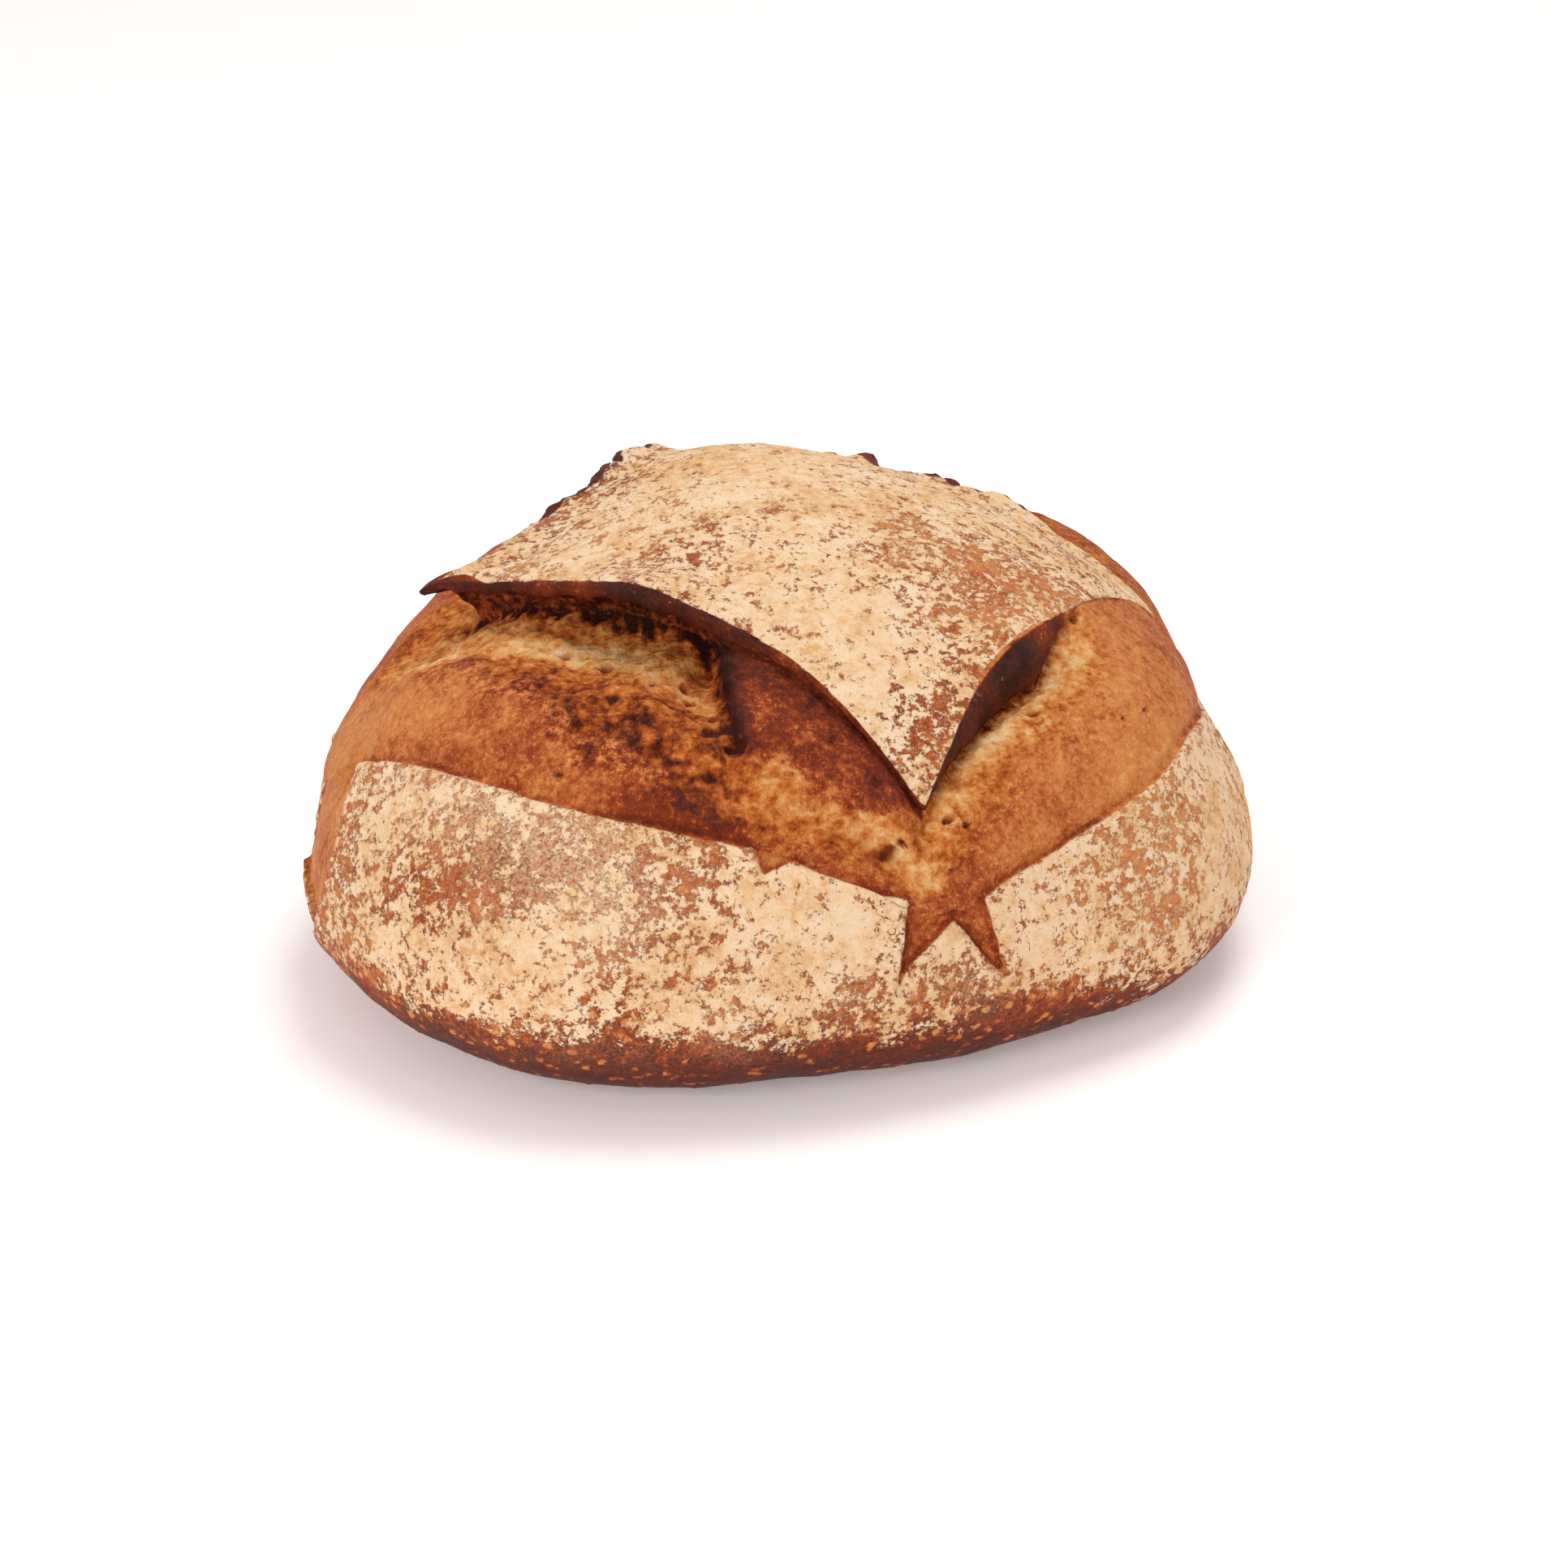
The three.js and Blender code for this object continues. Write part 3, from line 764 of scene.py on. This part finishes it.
# Where the flour is caked: ragged specks everywhere, and fine crazing in the thick patches
warp = node(tree, "ShaderNodeTexNoise", {"Vector": place, "Scale": 1000 / 5, "Detail": 3.0})
warped_place = node(tree, "ShaderNodeMix", {0: 0.009, 4: place, 5: warp.outputs["Color"]},
                    data_type="VECTOR").outputs[1]
flakes = node(tree, "ShaderNodeTexVoronoi", {"Vector": warped_place, "Scale": 1000 / 8},
              feature="DISTANCE_TO_EDGE")
crack = node(tree, "ShaderNodeMapRange", {
    "Value": flakes.outputs["Distance"], "From Max": 0.05, "To Min": 1.0, "To Max": 0.0,
}, interpolation_type="SMOOTHSTEP")
cracking = node(tree, "ShaderNodeMapRange", {
    "Value": lumps["crazed_places"], "From Min": 0.47, "From Max": 0.60, "To Max": -0.8,
}, interpolation_type="SMOOTHSTEP")
cracking = node(tree, "ShaderNodeMath", {0: cracking.outputs["Result"], 1: paint["crazed"]},
                operation="MULTIPLY")
cake = node(tree, "ShaderNodeMath", {0: paint["flour"], 1: swings["flour_specks"]},
            operation="ADD")
cake = node(tree, "ShaderNodeMath", {0: cake.outputs[0], 1: swings["flour_clumps"]},
            operation="ADD")
cake = node(tree, "ShaderNodeMath", {
    0: crack.outputs["Result"], 1: cracking.outputs[0], 2: cake.outputs[0],
}, operation="MULTIPLY_ADD")
caked = node(tree, "ShaderNodeMapRange", {
    "Value": cake.outputs[0], "From Min": 0.36, "From Max": 0.52,
}, interpolation_type="SMOOTHSTEP")
on_skin = node(tree, "ShaderNodeMapRange", {
    "Value": paint["floury"], "From Min": -0.05, "From Max": 0.35,
}, interpolation_type="SMOOTHSTEP")
cover = node(tree, "ShaderNodeMath", {0: caked.outputs["Result"], 1: on_skin.outputs["Result"]},
             operation="MULTIPLY")

# Bare crust, from pale gold through red-brown to the burnt ears. It is mottled, freckled by tiny
# bubbles and paler on the blisters of the foot; painted shade darkens it a little beside the flour.
mottle = node(tree, "ShaderNodeMath", {0: paint["mottle"], 1: 1.5, 2: 0.6},
              operation="MULTIPLY_ADD")
mottling = node(tree, "ShaderNodeMath", {0: lumps["crust_mottle"], 1: 0.5}, operation="SUBTRACT")
toast_and_shade = node(tree, "ShaderNodeMath", {
    0: mottling.outputs[0], 1: mottle.outputs[0], 2: paint["bake_and_shade"],
}, operation="MULTIPLY_ADD")
toast_and_shade = node(tree, "ShaderNodeMath", {0: toast_and_shade.outputs[0], 1: swings["crust_drift"]},
             operation="ADD")
blisters = node(tree, "ShaderNodeTexVoronoi", {"Vector": place, "Scale": 1000 / 3.4})
from_blister = node(tree, "ShaderNodeMath", {
    0: blisters.outputs["Distance"], 1: swings["blister_edge"],
}, operation="ADD")
on_blister = node(tree, "ShaderNodeMapRange", {
    "Value": from_blister.outputs[0], "From Min": 0.20, "From Max": 0.42,
    "To Min": -1.0, "To Max": 0.0,
}, interpolation_type="SMOOTHSTEP")
chosen = node(tree, "ShaderNodeMapRange", {
    "Value": blisters.outputs["Color"], "From Min": 0.35, "From Max": 0.55,
}, interpolation_type="SMOOTHSTEP")
paleness = node(tree, "ShaderNodeMath", {0: paint["low"], 1: 0.26, 2: 0.05},
                operation="MULTIPLY_ADD")
paleness = node(tree, "ShaderNodeMath", {0: chosen.outputs["Result"], 1: paleness.outputs[0]},
                operation="MULTIPLY")
toast_and_shade = node(tree, "ShaderNodeMath", {
    0: on_blister.outputs["Result"], 1: paleness.outputs[0], 2: toast_and_shade.outputs[0],
}, operation="MULTIPLY_ADD")
freckles = node(tree, "ShaderNodeMapRange", {
    "Value": lumps["crust_freckles"], "From Min": 0.56, "From Max": 0.68, "To Max": 0.12,
}, interpolation_type="SMOOTHSTEP")
toast_and_shade = node(tree, "ShaderNodeMath", {0: toast_and_shade.outputs[0], 1: freckles.outputs["Result"]},
             operation="SUBTRACT")
# Painted shade: a little darker beside the cakes of flour
shade_beside_cake = node(tree, "ShaderNodeMapRange", {
    "Value": cake.outputs[0], "From Max": 0.40, "To Max": 0.04,
}, interpolation_type="SMOOTHSTEP")
toast_and_shade = node(tree, "ShaderNodeMath", {
    0: shade_beside_cake.outputs["Result"], 1: on_skin.outputs["Result"], 2: toast_and_shade.outputs[0],
}, operation="MULTIPLY_ADD", use_clamp=True)

# Torn crumb: cream and gold, full of small bubbles with painted shade in their pits, and drawn
# out in strands where it tore away under the ears
bubbles = node(tree, "ShaderNodeTexVoronoi", {"Vector": warped_place, "Scale": 1000 / 2.6},
               feature="SMOOTH_F1")
strands = node(tree, "ShaderNodeTexNoise", {
    "Vector": node(tree, "ShaderNodeAttribute", attribute_name="fibres").outputs["Vector"],
    "Scale": 1000 / 2.2, "Detail": 4.0, "Roughness": 0.65,
})
singe_and_shade = node(tree, "ShaderNodeMath", {0: paint["tone_and_shade"], 1: swings["crumb_mottle"]},
             operation="ADD")
from_bubble = node(tree, "ShaderNodeMath", {0: bubbles.outputs["Distance"], 1: 0.5},
                   operation="SUBTRACT")
# Painted shade in the bubbles' pits
singe_and_shade = node(tree, "ShaderNodeMath", {0: from_bubble.outputs[0], 1: -0.35, 2: singe_and_shade.outputs[0]},
             operation="MULTIPLY_ADD")
stranded = node(tree, "ShaderNodeMath", {0: paint["streaked"], 1: 1.5}, operation="MULTIPLY")
strand = node(tree, "ShaderNodeMath", {0: strands.outputs["Fac"], 1: 0.5}, operation="SUBTRACT")
singe_and_shade = node(tree, "ShaderNodeMath", {
    0: strand.outputs[0], 1: stranded.outputs[0], 2: singe_and_shade.outputs[0],
}, operation="MULTIPLY_ADD")
# Painted shade: darker in the holes
singe_and_shade = node(tree, "ShaderNodeMath", {0: paint["pit"], 1: 0.35, 2: singe_and_shade.outputs[0]},
             operation="MULTIPLY_ADD", use_clamp=True)
thickness_of_flour = node(tree, "ShaderNodeMath", {
    0: lumps["flour_thickness"], 1: swings["flour_drifts"],
}, operation="ADD")

# The colours, each along its own scale from 0 to 1
scales = {
    "crust": (toast_and_shade, [
        (0, "#F4C284"), (0.25, "#E8A25A"), (0.42, "#D37D40"), (0.5, "#B85C28"),
        (0.58, "#983C13"), (0.68, "#76280B"), (0.78, "#5E210D"), (0.88, "#46170B"),
        (1, "#2C0E07"),
    ]),
    "crumb": (singe_and_shade, [
        (0, "#F5D4A6"), (0.2, "#EEB87A"), (0.4, "#E0924C"), (0.56, "#C66B2A"),
        (0.72, "#9E4616"), (0.87, "#66270E"), (1, "#36120A"),
    ]),
    "flour": (thickness_of_flour, [
        (0, "#DA9658"), (0.36, "#EBB67E"), (0.48, "#F8CF9F"), (0.60, "#FDDDB6"),
        (1, "#FFEAD0"),
    ]),
}
colours = {}
for name, (value, stops) in scales.items():
    scale = node(tree, "ShaderNodeValToRGB", {"Fac": value.outputs[0]})
    scale.color_ramp.elements.remove(scale.color_ramp.elements[1])
    scale.color_ramp.elements[0].color = srgb(stops[0][1])
    for at, code in stops[1:]:
        scale.color_ramp.elements.new(at).color = srgb(code)
    colours[name] = scale.outputs["Color"]

# Crumb shows through the torn crust, holes are darkened with painted shade, and powder greys the
# crust that the cakes of flour leave bare
torn_edge = node(tree, "ShaderNodeMath", {0: paint["crumb"], 1: swings["crumb_edge"]},
                 operation="ADD")
torn_open = node(tree, "ShaderNodeMapRange", {
    "Value": torn_edge.outputs[0], "From Min": 0.2, "From Max": 0.8,
}, interpolation_type="SMOOTHSTEP")
# Painted shade in the holes, mixed in below
shade_in_hole = node(tree, "ShaderNodeMath", {0: paint["pit"], 1: 0.7}, operation="MULTIPLY")
powdery = node(tree, "ShaderNodeMapRange", {
    "Value": lumps["powder_grain"], "From Min": 0.36, "From Max": 0.60,
}, interpolation_type="SMOOTHSTEP")
powder = node(tree, "ShaderNodeMath", {0: paint["dust"], 1: powdery.outputs["Result"]},
              operation="MULTIPLY", use_clamp=True)
powder_cover = node(tree, "ShaderNodeMath", {0: powder.outputs[0], 1: 0.85},
                    operation="MULTIPLY")
final_colour = colours["crust"]
for amount, colour in [
    (torn_open.outputs["Result"], colours["crumb"]),
    (shade_in_hole.outputs[0], srgb("#5E2818")),
    (powder_cover.outputs[0], srgb("#EBC19B")),
    (cover.outputs[0], colours["flour"]),
]:
    final_colour = node(tree, "ShaderNodeMix", {0: amount, 6: final_colour, 7: colour},
                        data_type="RGBA").outputs[2]
tree.links.new(final_colour, shader.inputs["Base Color"])

gloss = node(tree, "ShaderNodeMapRange", {
    "Value": toast_and_shade.outputs[0], "From Min": 0.45, "From Max": 0.95,
    "To Min": 0.66, "To Max": 0.46,
})
matt = node(tree, "ShaderNodeMath", {0: cover.outputs[0], 1: powder.outputs[0]},
            operation="MAXIMUM")
matt = node(tree, "ShaderNodeMath", {0: matt.outputs[0], 1: paint["torn"]}, operation="MAXIMUM")
sheen = node(tree, "ShaderNodeMix", {0: matt.outputs[0], 2: gloss.outputs["Result"], 3: 0.9},
             data_type="FLOAT")
tree.links.new(sheen.outputs[0], shader.inputs["Roughness"])
shader.inputs["IOR"].default_value = 1.45
shader.inputs["Specular IOR Level"].default_value = 0.22

# What is too fine for the mesh: the grain of the flour, the pits of the crumb and crust
grainy = node(tree, "ShaderNodeMath", {0: cover.outputs[0], 1: 0.25, 2: swings["flour_grain"]},
              operation="MULTIPLY_ADD")
bubbly = node(tree, "ShaderNodeMath", {0: bubbles.outputs["Distance"], 1: 2.0},
              operation="MULTIPLY")
fine = node(tree, "ShaderNodeMath", {
    0: bubbly.outputs[0], 1: paint["torn"], 2: grainy.outputs[0],
}, operation="MULTIPLY_ADD")
fine = node(tree, "ShaderNodeMath", {0: lumps["crust_grain"], 1: 1.6, 2: fine.outputs[0]},
            operation="MULTIPLY_ADD")
relief_grain = node(tree, "ShaderNodeBump", {
    "Height": fine.outputs[0], "Distance": 0.45 * MM, "Strength": 0.9,
})
tree.links.new(relief_grain.outputs["Normal"], shader.inputs["Normal"])

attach(loaf, "root")
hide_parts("loaf")
